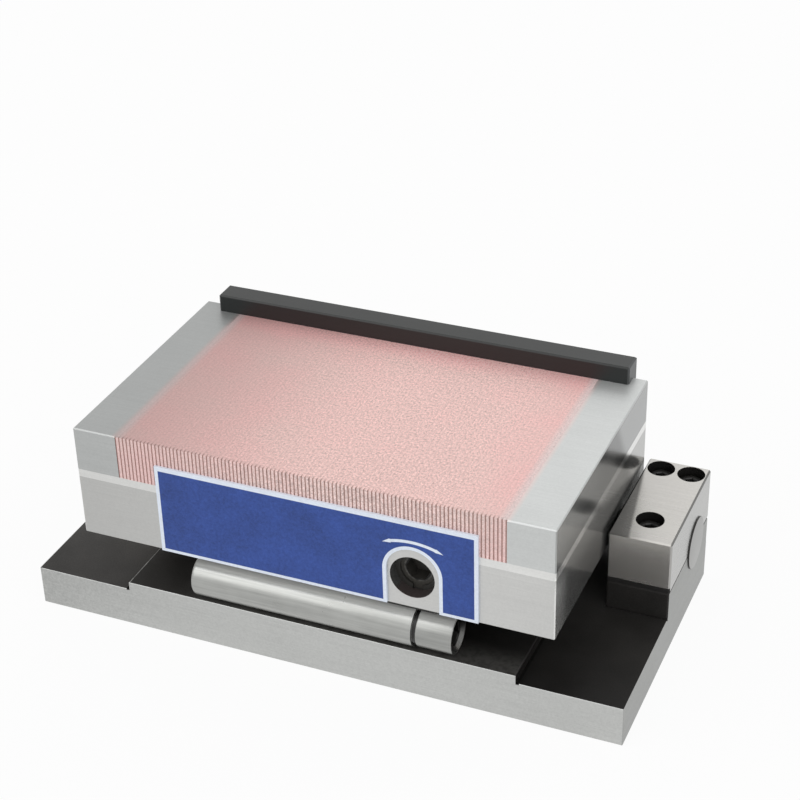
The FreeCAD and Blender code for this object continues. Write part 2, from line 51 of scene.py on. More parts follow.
# One wire of a node tree. Arithmetic on wires and numbers adds the Math nodes.
class Wire:
    def __init__(self, tree, socket):
        self.tree = tree
        self.socket = socket

    def math(self, operation, *others):
        return self.tree.node("ShaderNodeMath", {"operation": operation}, [self, *others])

    def __add__(self, other):
        return self.math("ADD", other)

    def __radd__(self, other):
        return self.math("ADD", other)

    def __sub__(self, other):
        return self.math("SUBTRACT", other)

    def __rsub__(self, other):
        return self.tree.node("ShaderNodeMath", {"operation": "SUBTRACT"}, [other, self])

    def __mul__(self, other):
        return self.math("MULTIPLY", other)

    def __rmul__(self, other):
        return self.math("MULTIPLY", other)

    def __truediv__(self, other):
        return self.math("DIVIDE", other)

    def __gt__(self, other):
        return self.math("GREATER_THAN", other)

    def __lt__(self, other):
        return self.math("LESS_THAN", other)

    def __abs__(self):
        return self.math("ABSOLUTE")

    def least(self, other):
        return self.math("MINIMUM", other)

    def most(self, other):
        return self.math("MAXIMUM", other)

    def root(self):
        return self.math("SQRT")

    def held(self):  # between 0 and 1
        return self.most(0.0).least(1.0)

    def rise(self, low, high):  # 0 below low, 1 above high, smooth between them
        ends = {"Value": self, "From Min": low, "From Max": high}
        return self.tree.node("ShaderNodeMapRange", {"interpolation_type": "SMOOTHSTEP"}, ends)


# The node tree of one material or of the world
class Tree:
    def __init__(self, owner, end):
        owner.use_nodes = True
        self.made = owner.node_tree
        self.made.nodes.clear()
        self.end = self.made.nodes.new(end)

    def node(self, kind, settings=None, sockets=(), output=0):
        made = self.made.nodes.new(kind)
        for name, value in (settings or {}).items():
            setattr(made, name, value)
        pairs = sockets.items() if isinstance(sockets, dict) else enumerate(sockets)
        for name, value in pairs:
            if isinstance(value, Wire):
                self.made.links.new(value.socket, made.inputs[name])
            else:
                made.inputs[name].default_value = value
        return Wire(self, made.outputs[output])

    def show(self, shader):
        self.made.links.new(shader.socket, self.end.inputs["Surface"])

    def place(self):  # the point on the piece, in metres
        return self.node("ShaderNodeTexCoord", output="Object")

    def parts(self, vector):  # x, y and z of a vector
        split = self.node("ShaderNodeSeparateXYZ", sockets=[vector]).socket.node
        return [Wire(self, socket) for socket in split.outputs]

    def noise(self, vector, size, detail=3.0, share=0.5):  # blots about this size, from 0 to 1
        sockets = {"Vector": vector, "Scale": 1 / size, "Detail": detail, "Roughness": share}
        return self.node("ShaderNodeTexNoise", sockets=sockets)

    def stretch(self, vector, sizes):
        return self.node("ShaderNodeVectorMath", {"operation": "MULTIPLY"}, [vector, sizes])

    def mixed(self, share, low, high):  # a colour between two colours
        return self.node("ShaderNodeMix", {"data_type": "RGBA"}, {0: share, 6: low, 7: high}, 2)

    def shaded(self, colour, light):  # a colour times a number
        multiply = {"data_type": "RGBA", "blend_type": "MULTIPLY"}
        return self.node("ShaderNodeMix", multiply, {0: 1.0, 6: colour, 7: light}, 2)

    def bump(self, height, strength, depth):
        sockets = {"Height": height, "Strength": strength, "Distance": depth}
        return self.node("ShaderNodeBump", sockets=sockets)

    def surface(self, colour, rough, metal, normal, gloss=0.5):
        sockets = {"Base Color": colour, "Roughness": rough, "Metallic": metal, "Normal": normal}
        sockets["Specular IOR Level"] = gloss
        self.show(self.node("ShaderNodeBsdfPrincipled", sockets=sockets))


def newFinish(name):
    material = bpy.data.materials.new(name)
    return material, Tree(material, "ShaderNodeOutputMaterial")


def screen(red, green, blue):  # a screen colour of 0 to 255 as the light it stands for
    shares = [value / 255 for value in (red, green, blue)]
    light = [s / 12.92 if s < 0.04045 else ((s + 0.055) / 1.055) ** 2.4 for s in shares]
    return (*light, 1.0)


def dress(nodeName, material):  # gives a node its finish
    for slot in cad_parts[nodeName].material_slots:
        slot.material = material


# Turned surfaces. A corner of a profile is (reach, radius, ease, hexagon, knurl): how far along the
# axis, how far from it, how much the corner is rounded, 1 where the ring is a hexagon of that inner
# radius, and how deep the knurling cuts.
turning = {
    "steps": 144,
    "knurls": 36,
    "sharpFrom": math.radians(35),
    "leastEase": 0.01 * mm,
}


def eased(corners, points):
    # each corner becomes a curve from a point before it, bent towards it, to a point after it:
    # (1 - t)^2 start + 2 t (1 - t) corner + t^2 end
    rows = np.array([tuple(corner) + (0,) * (5 - len(corner)) for corner in corners], float)
    rows[:, (0, 1, 2, 4)] *= mm
    here = rows[1:-1]
    ease = np.maximum(here[:, 2:3], turning["leastEase"])

    def towards(other):
        way = other[:, :2] - here[:, :2]
        return here[:, :2] + way / np.linalg.norm(way, axis=1, keepdims=True) * ease

    t = np.linspace(0, 1, points)[None, :, None]
    start = towards(rows[:-2])[:, None]
    end = towards(rows[2:])[:, None]
    curve = (1 - t) ** 2 * start + 2 * t * (1 - t) * here[:, None, :2] + t**2 * end
    marks = np.repeat(here[:, None, 3:], points, axis=1)
    rings = np.concatenate((curve, marks), axis=2).reshape(-1, 4)
    ends = rows[[0, -1]][:, (0, 1, 3, 4)]
    return np.vstack((ends[:1], rings, ends[1:]))


def turned(corners, centre, along, points=4):
    # a point lies as far from the axis as its ring's radius, divided on a hexagon by the cosine of the
    # angle from the nearest flat, less the knurl's depth times half of 1 minus the cosine of its turns
    rings = eased(corners, points)
    steps = turning["steps"]
    angle = np.arange(steps) * (2 * math.pi / steps)
    sixth = math.pi / 3
    flat = 1 / np.cos((angle + sixth / 2) % sixth - sixth / 2) - 1
    ridge = (1 - np.cos(turning["knurls"] * angle)) / 2
    reach, radius, hexagon, knurl = (column[:, None] for column in rings[1:-1].T)
    out = radius * (1 + hexagon * flat) - knurl * ridge
    axis = np.array(along, float)
    side = np.roll(axis, 1)
    third = np.cross(axis, side)
    around = np.cos(angle)[:, None] * side + np.sin(angle)[:, None] * third
    skin = (reach[..., None] * axis + out[..., None] * around).reshape(-1, 3)
    poles = rings[[0, -1], :1] * axis
    vertices = np.vstack((skin, poles)) + np.array(centre, float) * mm
    count = len(rings) - 2
    first = np.arange(count - 1)[:, None] * steps + np.arange(steps)
    after = np.arange(count - 1)[:, None] * steps + (np.arange(steps) + 1) % steps
    quads = np.stack((first, after, after + steps, first + steps), axis=-1).reshape(-1, 4)
    rim = np.arange(steps)
    nextRim = (rim + 1) % steps
    last = (count - 1) * steps
    lowFan = np.stack((nextRim, rim, np.full(steps, len(skin))), axis=-1)
    highFan = np.stack((rim + last, nextRim + last, np.full(steps, len(skin) + 1)), axis=-1)
    return vertices, [quads, lowFan, highFan]


def newPiece(name, parts, material, body, node):
    # several closed surfaces joined as one piece, which stands for a node of the frame
    points = []
    faces = []
    offset = 0
    for vertices, groups in parts:
        points.append(vertices)
        for group in groups:
            faces += (group + offset).tolist()
        offset += len(vertices)
    mesh = bpy.data.meshes.new(name)
    mesh.from_pydata(np.vstack(points).tolist(), [], faces)
    mesh.polygons.foreach_set("use_smooth", np.ones(len(mesh.polygons), bool))
    mesh.set_sharp_from_angle(angle=turning["sharpFrom"])
    mesh.materials.append(material)
    mesh.update()
    piece = bpy.data.objects.new(name, mesh)
    bpy.context.scene.collection.objects.link(piece)
    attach(piece, body)
    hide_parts(node)
    return piece


# Ground steel: fine lines and wider bands along the wheel's path, cloudy patches and small pits
grinding = {
    "lineWidth": 0.25 * mm,
    "lineLength": 30 * mm,
    "bandWidth": 1.8 * mm,
    "bandLength": 70 * mm,
    "cloudSize": 22 * mm,
    "pitSize": 0.7 * mm,
    "line": 0.16,  # how far each of the four changes the tone
    "band": 0.08,
    "cloud": 0.12,
    "pit": 0.15,
    "cloudDull": 0.3,  # how far clouds and bands change the roughness
    "bandDull": 0.2,
    "bandRelief": 0.5,  # how high bands and pits stand, where a line is 1
    "pitRelief": 2.0,
    "reliefStrength": 0.3,
    "reliefDepth": 0.002 * mm,
    "metal": 0.9,
    "endTurn": 0.7,  # a face whose normal leans this far along x is ground along y
}
facesTo = (0.6, 0.8)  # the lean of a normal along an axis over which its face comes to look that way
skin = 0.05 * mm  # how far under a face its finish still reaches


def facing(tree):  # how far the surface looks along x, y and z
    return tree.parts(tree.node("ShaderNodeTexCoord", output="Normal"))


def farFrom(across, up):  # the distance from an axis, from the two distances across it
    return (across * across + up * up).root()


def grain(tree):
    # streaks along x, or along y on the end faces: noise squeezed across them
    place = tree.place()
    end = abs(facing(tree)[0]) > grinding["endTurn"]

    def streaks(width, length):
        fine = 1 / width
        slow = 1 / length
        alongX = tree.stretch(place, (slow, fine, fine))
        alongY = tree.stretch(place, (fine, slow, fine))
        chosen = tree.node("ShaderNodeMix", {"data_type": "VECTOR"}, {0: end, 4: alongX, 5: alongY}, 1)
        return tree.noise(chosen, 1.0, 2.0) - 0.5

    lines = streaks(grinding["lineWidth"], grinding["lineLength"])
    bands = streaks(grinding["bandWidth"], grinding["bandLength"])
    clouds = tree.noise(place, grinding["cloudSize"], 2.0) - 0.5
    return lines, bands, clouds


def steelOn(tree, tone, rough, shade=1.0, **marks):
    # colour, roughness and normal of ground steel, for a material's own tree
    mark = {**grinding, **marks}
    lines, bands, clouds = grain(tree)
    pits = tree.noise(tree.place(), mark["pitSize"], 2.0, 0.6) - 0.5
    light = 1 + lines * mark["line"] + bands * mark["band"] + clouds * mark["cloud"] + pits * mark["pit"]
    dull = rough * (1 + clouds * mark["cloudDull"] + bands * mark["bandDull"])
    height = lines + bands * mark["bandRelief"] + pits * mark["pit"] * mark["pitRelief"]
    relief = tree.bump(height, mark["reliefStrength"], mark["reliefDepth"])
    return tree.shaded(tone, light * shade), dull, relief


def groundSteel(name, tone, rough, **marks):
    material, tree = newFinish(name)
    colour, dull, relief = steelOn(tree, tone, rough, **marks)
    tree.surface(colour, dull, grinding["metal"], relief)
    return material


# Chuck body: painted shade darkens it towards its left end, and painted light sets its tops. Its end
# faces are painted darker, most of all beside the cap, and paler at their lower front and behind a
# slanting line near the hinge: painted reflections. Inside the switch bore it is painted dark as
# painted shade.
bodyLook = {
    "left": (-87 * mm, -5 * mm),
    "endRough": 0.45,
    "front": (-53 * mm, -38 * mm),
    "frontTop": (56 * mm, 66 * mm),
    "frontLight": 2.7,
    "beside": (-36 * mm, 6 * mm),
    "besideShare": 0.55,
    "rearHeight": 50 * mm,
    "rearSlope": 0.6,
    "rearLine": (26.5 * mm, 33.5 * mm),
    "rearLight": 1.3,
    "boreAt": (38.0 * mm, 50.8 * mm),
    "boreRadius": 8.7 * mm,
    "boreDepth": 20 * mm,
    "boreShadeShare": 0.10,
    "boreMetal": 0.3,
    "metal": 0.85,
    "topMetal": 0.6,
    "smearWidth": 2.5 * mm,
    "smearShare": 0.5,
    "gloss": 0.25,
}
railTone = screen(200, 202, 201)
bodyTone = screen(200, 200, 198)
spacerTone = screen(221, 221, 219)
# Painted light: the share of light that each piece's colour keeps at its left end, on its top and on its
# end faces
bodyPieces = {
    "groundRailLeft": {"tone": railTone, "rough": 0.42, "left": 0.80, "top": 0.68, "end": 0.37},
    "groundRailRight": {"tone": railTone, "rough": 0.42, "left": 0.80, "top": 1.04, "end": 0.37},
    "groundBody": {"tone": bodyTone, "rough": 0.40, "left": 0.86, "top": 1.0, "end": 0.56},
    "stainlessSpacer": {"tone": spacerTone, "rough": 0.45, "left": 0.95, "top": 1.0, "end": 0.80},
}


# painted light and shade on an end face, as painted reflections: darker beside the cap, paler at its lower
# front and behind a slanting line
def endShade(x, y, z):  # how light an end face is from place to place
    look = bodyLook
    rear = (y + (z - look["rearHeight"]) * look["rearSlope"]).rise(*look["rearLine"])
    beside = y.rise(*look["beside"]) * (1 - rear) * (x > 0.0)
    front = (1 - y.rise(*look["front"])) * (1 - z.rise(*look["frontTop"]))
    frontLight = 1 + front * (look["frontLight"] - 1)
    rearLight = 1 + rear * (look["rearLight"] - 1)
    return (1 - beside * (1 - look["besideShare"])) * frontLight * rearLight


def bodySteel(name):
    material, tree = newFinish(name)
    look = bodyLook
    piece = bodyPieces[name]
    lean = facing(tree)
    x, y, z = tree.parts(tree.place())
    left = 1 - x.rise(*look["left"])
    top = lean[2].rise(*facesTo)
    end = abs(lean[0]).rise(*facesTo)
    # painted light and shade: darker towards the left end, a set share on the top, and the end faces'
    # painted reflections
    shade = (1 - left * (1 - piece["left"])) * (1 - end) + end * (endShade(x, y, z) * piece["end"])
    shade = shade + (piece["top"] - shade) * top
    # copper from the pole field is smeared over the first few millimetres beside it
    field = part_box("pole_laminations")[1].x
    smear = (1 - abs(x).rise(field, field + look["smearWidth"])) * top * look["smearShare"]
    tone = tree.mixed(smear, piece["tone"], plateLook["lamination"])
    rough = piece["rough"] * (1 - end * (1 - look["endRough"]))
    colour, dull, relief = steelOn(tree, tone, rough, shade)
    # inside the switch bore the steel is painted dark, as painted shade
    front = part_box("chuck_housing")[0].y
    boreX, boreZ = look["boreAt"]
    bore = farFrom(x - boreX, z - boreZ) < look["boreRadius"]
    bore = bore * (y > front + skin) * (y < front + look["boreDepth"])
    colour = tree.shaded(colour, 1 - bore * (1 - look["boreShadeShare"]))
    metal = look["metal"] + top * (look["topMetal"] - look["metal"])
    metal = metal * (1 - bore * (1 - look["boreMetal"]))
    tree.surface(colour, dull, metal, relief, look["gloss"])
    return material


# The black film on steel, which the caps also take as painted shade: mottled, with fine specks
filmAndShadeLook = {
    "tone": screen(33, 32, 31),
    "rough": 0.36,
    "mottleSize": 9 * mm,
    "mottle": 0.6,
    "mottleDull": 0.25,
    "speckSize": 0.5 * mm,
    "speck": 0.8,
}


def filmAndShadeOn(tree):  # its colour and roughness
    look = filmAndShadeLook
    place = tree.place()
    mottle = tree.noise(place, look["mottleSize"], 4.0) - 0.5
    specks = tree.noise(place, look["speckSize"], 2.0) - 0.5
    filmAndShade = tree.shaded(look["tone"], 1 + mottle * look["mottle"] + specks * look["speck"])
    return filmAndShade, look["rough"] * (1 + mottle * look["mottleDull"])


# on the base the film is a real black finish; on the caps it is painted shade
def underFilmAndShade(tree, black, steel, filmAndShade, gloss):  # ground steel, under the film where black is 1
    colour, dull, relief = steel
    filmAndShadeTone, filmAndShadeDull = filmAndShade
    colour = tree.mixed(black, colour, filmAndShadeTone)
    tree.surface(colour, dull + (filmAndShadeDull - dull) * black, grinding["metal"] * (1 - black), relief, gloss)


# Base: bright ground sides, blackened top faces. Painted shade makes the end faces darker and the other
# ground faces darker towards the left end.
baseLook = {
    "front": screen(189, 190, 188),
    "side": screen(154, 155, 153),
    "rough": 0.42,
    "line": 0.25,
    "pit": 0.28,
    "dull": (-111 * mm, -50 * mm),
    "leftShadeShare": 0.84,
    "sideInset": 0.15 * mm,  # how far the film stays off each edge
    "frontInset": 0.125 * mm,
    "rearInset": 0.25 * mm,
    "ledgeHeight": 15.5 * mm,
    "reliefDepth": 0.6 * mm,
    "landHeight": 18.5 * mm,
    "landSkin": 0.1 * mm,
    "landHalf": 73.5 * mm,
    "leftLitSpan": (-60 * mm, 40 * mm),
    "leftLight": 3.3,
    "rearLitSpan": (-45 * mm, 5 * mm),
    "rearLight": 1.9,
    "landDark": (-60 * mm, -40 * mm),
    "landDarker": 0.3,
    "wornTone": screen(74, 73, 71),
    "worn": (-49.5 * mm, -37.0 * mm),
    "wornStart": (-52 * mm, -44 * mm),
    "wornLeast": 0.55,
    "fretSize": 1.6 * mm,
    "fretRise": (0.3, 0.6),
    "stepTone": screen(180, 179, 176),
    "stepInset": 0.2 * mm,
    "stepHalf": 0.3 * mm,
    "stepLeast": 0.4,
    "gloss": 0.1,
}


def blackenedBase():
    material, tree = newFinish("groundAndBlackened")
    look = baseLook
    low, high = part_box("base_plate")
    place = tree.place()
    x, y, z = tree.parts(place)
    # painted shade: the end faces take a darker tone and the other faces darken towards the left end
    side = abs(facing(tree)[0]).rise(*facesTo)
    left = 1 - x.rise(*look["dull"])
    tone = tree.mixed(side, look["front"], look["side"])
    shade = 1 - left * (1 - side) * (1 - look["leftShadeShare"])
    steel = steelOn(tree, tone, look["rough"], shade, line=look["line"], pit=look["pit"] * (1 + left))
    # the film covers the top faces, up to a bright edge
    floor = look["ledgeHeight"] - look["reliefDepth"]
    black = (abs(x) < high.x - look["sideInset"]) * (y > low.y + look["frontInset"])
    black = black * (y < high.y - look["rearInset"]) * (z > floor - skin)
    filmAndShade, filmAndShadeDull = filmAndShadeOn(tree)
    # painted light on the film: lighter towards the left end and towards the rear
    filmAndShade = tree.shaded(filmAndShade, 1 + (1 - x.rise(*look["leftLitSpan"])) * (look["leftLight"] - 1))
    filmAndShade = tree.shaded(filmAndShade, 1 + y.rise(*look["rearLitSpan"]) * (look["rearLight"] - 1))
    # the land takes less of that painted light at its left end, is rubbed grey along its front
    # and is bare along its left step's edge
    land = z > look["landHeight"] - look["landSkin"]
    filmAndShade = tree.shaded(filmAndShade, 1 - land * (1 - x.rise(*look["landDark"])) * look["landDarker"])
    rubbed = land * (1 - y.rise(*look["worn"])) * x.rise(*look["wornStart"])
    fret = tree.noise(place, look["fretSize"], 3.0).rise(*look["fretRise"])
    filmAndShade = tree.mixed(rubbed * (look["wornLeast"] + fret * (1 - look["wornLeast"])), filmAndShade, look["wornTone"])
    step = (abs(x + look["landHalf"] - look["stepInset"]) < look["stepHalf"]) * land
    filmAndShade = tree.mixed(step * (look["stepLeast"] + fret * (1 - look["stepLeast"])), filmAndShade, look["stepTone"])
    underFilmAndShade(tree, black, steel, (filmAndShade, filmAndShadeDull), look["gloss"])
    return material


# Bearing caps: ground steel, with painted light and shade: a lighter front face, a darker top, sides
# and top edges, and a darker band beside the chuck. The dark film is painted in the counterbores as
# painted shade and on the lowest band of the front face as a painted shadow.
capLook = {
    "top": screen(174, 172, 168),
    "front": screen(244, 240, 234),
    "side": screen(168, 168, 166),
    "rough": 0.26,
    "frontLean": (-0.95, -0.85),
    "footHeight": 28.1 * mm,
    "footDepth": 0.9 * mm,
    "footLean": -0.3,
    "footRough": 0.85,
    "screws": ((94.1 * mm, 45.7 * mm), (105.2 * mm, 45.7 * mm), (99.65 * mm, 12.7 * mm)),
    "boreRadius": 5.15 * mm,
    "boreRim": 0.15 * mm,
    "edgeLean": 0.4,
    "edgeShare": 0.45,
    "stripShare": 0.36,
    "stripAt": 95.8 * mm,  # x of the strip's outer side where y is 0
    "stripSlope": 0.166,
    "stripSoft": 0.7 * mm,
    "topLean": 0.7,
    "gloss": 0.3,
}


def capSteel():
    material, tree = newFinish("groundCap")
    look = capLook
    low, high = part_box("hinge_cap_right")
    x, y, z = tree.parts(tree.place())
    out = abs(x)
    lean = facing(tree)
    side = abs(lean[0]).rise(*facesTo)
    # painted light and shade: the front face is painted lighter, the top and the sides darker
    tone = tree.mixed(lean[1].rise(*look["frontLean"]), look["front"], look["top"])
    tone = tree.mixed(side, tone, look["side"])
    # painted shade: the broken edges along the top are darker, and so is the band beside the chuck
    broken = (abs(lean[0]) > look["edgeLean"]) * (lean[2] > look["edgeLean"])
    shadeStrip = 1 - (out + y * look["stripSlope"] - look["stripAt"]).rise(-look["stripSoft"], look["stripSoft"])
    shadeStrip = shadeStrip * (lean[2] > look["topLean"])
    shade = (1 - broken * (1 - look["edgeShare"])) * (1 - shadeStrip * (1 - look["stripShare"]))
    steel = steelOn(tree, tone, look["rough"], shade)
    # painted shade: the dark film covers the lowest band of the front face and the counterbores
    shadowFoot = (y < low.y + look["footDepth"]) * (z < look["footHeight"]) * (lean[1] < look["footLean"])
    shadedBores = 0.0
    for screwX, screwY in look["screws"]:
        shadedBores = (farFrom(out - screwX, y - screwY) < look["boreRadius"]) + shadedBores
    shadedBores = shadedBores.least(1.0) * (z < high.z - look["boreRim"])
    filmAndShade, filmAndShadeDull = filmAndShadeOn(tree)
    filmAndShadeDull = filmAndShadeDull + (look["footRough"] - filmAndShadeDull) * shadowFoot
    underFilmAndShade(tree, shadowFoot.most(shadedBores), steel, (filmAndShade, filmAndShadeDull), look["gloss"])
    return material


# Bearing plugs: a ground face and a turned rim painted dark as painted shade
plugLook = {
    "face": screen(154, 154, 152),
    "rim": screen(52, 51, 49),
    "rough": 0.34,
    "faceLean": (0.85, 0.95),
    "faceMetal": 0.9,
    "rimMetal": 0.5,
}


def plugSteel():
    material, tree = newFinish("groundPlug")
    look = plugLook
    face = abs(facing(tree)[0]).rise(*look["faceLean"])
    colour, dull, relief = steelOn(tree, look["face"], look["rough"])
    metal = look["rimMetal"] + face * (look["faceMetal"] - look["rimMetal"])
    # painted shade: the rim is painted dark
    tree.surface(tree.mixed(face, look["rim"], colour), dull, metal, relief)
    return material


# Sine roller: ground round, with lengthwise streaks, an upper side painted paler as painted light, and a
# groove and an end dish and key socket painted dark as painted shade
rollLook = {
    "tone": screen(166, 167, 164),
    "rough": 0.30,
    "metal": 0.9,
    "streakWidth": 0.8 * mm,
    "streakLength": 26 * mm,
    "streak": 0.55,
    "blotSize": 5 * mm,
    "blot": 0.2,
    "blotDull": 0.4,
    "blotRelief": 0.5,
    "litTopTone": screen(226, 227, 224),
    "topMetal": 0.3,
    "top": (0.68, 0.92),
    "groove": (36.75 * mm, 38.05 * mm),
    "grooveShadeTone": screen(38, 38, 37),
    "grooveMetal": 0.4,
    "plugShare": 0.85,
    "dishShadeTone": screen(112, 112, 110),
    "dishRadius": 6.35 * mm,
    "dishShadow": (-2.0 * mm, 3.0 * mm),
    "dishShadowShare": 0.25,
    "keyShadeTone": screen(58, 58, 56),
    "keyRadius": 4.7 * mm,
    "scratchSize": 0.6 * mm,
    "scratchSqueeze": (1, 1, 3),
    "scratch": 1.2,
}


def rollSteel():
    material, tree = newFinish("groundRoll")
    look = rollLook
    place = tree.place()
    x, y, z = tree.parts(place)
    slow = 1 / look["streakLength"]
    fine = 1 / look["streakWidth"]
    streak = tree.noise(tree.stretch(place, (slow, fine, fine)), 1.0, 3.0) - 0.5
    blot = tree.noise(place, look["blotSize"], 3.0) - 0.5
    tone = tree.shaded(look["tone"], 1 + streak * look["streak"] + blot * look["blot"])
    # painted light: the upper side, which the light grazes, is painted paler and given less metal
    top = facing(tree)[2].rise(*look["top"])
    tone = tree.mixed(top, tone, tree.shaded(look["litTopTone"], 1 + streak * look["streak"]))
    # painted shade: the groove is painted dark
    low, high = look["groove"]
    groove = (x > low) * (x < high)
    tone = tree.shaded(tone, 1 - (x > high) * (1 - look["plugShare"]))
    # painted shade in the end: a turned dish painted darker, darkest above the axis as a painted shadow of
    # the chuck, and a key socket painted dark
    axisY, axisZ = rollerShape["axis"]
    fromZ = z - axisZ * mm
    away = farFrom(y - axisY * mm, fromZ)
    end = (x > high) * (away < look["dishRadius"])
    socket = end * (away < look["keyRadius"])
    scratch = tree.noise(tree.stretch(place, look["scratchSqueeze"]), look["scratchSize"], 3.0) - 0.5
    dishLight = 1 - fromZ.rise(*look["dishShadow"]) * (1 - look["dishShadowShare"])
    dishShadeTone = tree.shaded(look["dishShadeTone"], dishLight)
    endTone = tree.shaded(tree.mixed(socket, dishShadeTone, look["keyShadeTone"]), 1 + scratch * look["scratch"])
    colour = tree.mixed(groove, tree.mixed(end, tone, endTone), look["grooveShadeTone"])
    height = streak + blot * look["blotRelief"]
    relief = tree.bump(height, grinding["reliefStrength"], grinding["reliefDepth"])
    dull = look["rough"] * (1 + blot * look["blotDull"])
    metal = look["metal"] + (look["topMetal"] - look["metal"]) * top
    tree.surface(colour, dull, metal * (1 - groove * (1 - look["grooveMetal"])), relief)
    return material


# Working face: steel laminations tinted by the copper that grinding smears over them. The copper lines'
# front is painted darker as painted shade in their gaps; the top is painted darker towards the left and
# lighter towards the rear as painted light.
plateLook = {
    "lamination": screen(235, 199, 193),
    "laminationFront": screen(231, 206, 201),
    "laminationFade": 0.3,  # how much of the front's tone runs on over the top's front edge
    "separator": screen(232, 193, 187),
    # the copper lines' front tone: their copper colour darkened by painted shade in the gaps between the
    # laminations
    "separatorFront": screen(169, 135, 127),
    "separatorFade": 1.0,
    "fadeWidth": 1.9 * mm,
    "frontSkin": 0.02 * mm,
    "rough": 0.45,
    "cloudDull": 0.3,
    "metal": 0.25,
    # painted light: the top is darker towards the left and lighter towards the rear
    "left": (-82 * mm, 10 * mm),
    "leftShare": 0.66,
    "right": (44 * mm, 72 * mm),
    "rear": (27 * mm, 38 * mm),
    "rearLight": 1.25,
    "redder": (1.0, 0.85, 0.88, 1.0),
    "leftRed": 0.5,
    "rightRed": 0.4,
    "rearRed": 0.8,
    "cloudRed": 1.2,
    "speckRed": 0.5,
    "bare": screen(210, 211, 210),  # little copper reaches the last strip beside the rails
    "bareWidth": 3.5 * mm,
    "bareShare": 0.5,
    "line": 0.06,
    "cloud": 0.12,
    "speckSize": 1.1 * mm,
    "speck": 0.5,
    "hatchSize": 0.5 * mm,
    "hatchSqueeze": (1, 0.6, 1),
    "hatch": 0.55,
    "contrast": 2.0,  # of specks and hatching, less at both ends
    "leftCalm": 1.4,
    "rightCalm": 1.0,
}


def workingFace(name, layer):
    material, tree = newFinish(name)
    look = plateLook
    low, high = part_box("pole_laminations")
    place = tree.place()
    x, y, z = tree.parts(place)
    lines, _, clouds = grain(tree)
    specks = tree.noise(place, look["speckSize"], 3.0, 0.7) - 0.5
    hatch = tree.noise(tree.stretch(place, look["hatchSqueeze"]), look["hatchSize"], 1.0) - 0.5
    top = z > high.z - skin
    left = 1 - x.rise(*look["left"])
    right = x.rise(*look["right"])
    rear = y.rise(*look["rear"])
    nearEdge = 1 - y.rise(low.y, low.y + look["fadeWidth"])
    front = (z < high.z - look["frontSkin"]).most(nearEdge * look[layer + "Fade"])
    tint = tree.mixed(front, look[layer], look[layer + "Front"])
    redness = left * look["leftRed"] + rear * look["rearRed"] + right * look["rightRed"]
    redness = (redness + clouds * look["cloudRed"] + specks * look["speckRed"]).held()
    tint = tree.shaded(tint, tree.mixed(redness, (1.0, 1.0, 1.0, 1.0), look["redder"]))
    bare = abs(x).rise(high.x - look["bareWidth"], high.x) * top * look["bareShare"]
    tint = tree.mixed(bare, tint, look["bare"])
    contrast = look["contrast"] - left * look["leftCalm"] - right * look["rightCalm"]
    marks = (specks * look["speck"] + hatch * look["hatch"]) * contrast
    # painted light: darker towards the left on the top, lighter towards the rear
    shade = (1 - left * top * (1 - look["leftShare"])) * (1 + rear * (look["rearLight"] - 1))
    light = (1 + lines * look["line"] + clouds * look["cloud"] + marks) * shade
    relief = tree.bump(lines + specks, grinding["reliefStrength"], grinding["reliefDepth"])
    dull = look["rough"] * (1 + clouds * look["cloudDull"])
    tree.surface(tree.shaded(tint, light), dull, look["metal"], relief)
    return material


# Name plate: blue enamel, a pale border round its outline and a plain curved arrow
labelLook = {
    "blue": screen(51, 77, 148),
    "pale": screen(229, 237, 249),
    "sideBorder": 1.35 * mm,
    "footBorder": 1.15 * mm,
    "headBorder": 1.65 * mm,
    "archBorder": 1.27 * mm,
    "borderEnd": (0.95, 1.05),
    "archHalfWidth": 9.4 * mm,
    "archMiddle": (38.4 * mm, 53.0 * mm),
    "arrowMiddle": (38.4 * mm, 37.6 * mm),
    "arrowRadius": 27.9 * mm,
    "arrowTurn": math.radians(0.8),
    "arrowHalfAngle": math.radians(22.7),
    "lineHalf": 0.57 * mm,
    "headHalf": 0.8 * mm,
    "headLength": 3.0 * mm,
    "soft": 0.06 * mm,
    "cloudSize": 14 * mm,
    "cloud": 0.6,
    "cloudLess": 0.5,  # on the pale print
    "peelSize": 1.0 * mm,
    "peel": 0.95,
    "peelLess": 0.7,
    "rough": 0.46,
    "cloudDull": 0.1,
    "printHeight": 0.6,
    "reliefStrength": 0.25,
    "reliefDepth": 0.01 * mm,
    "gloss": 0.3,
}


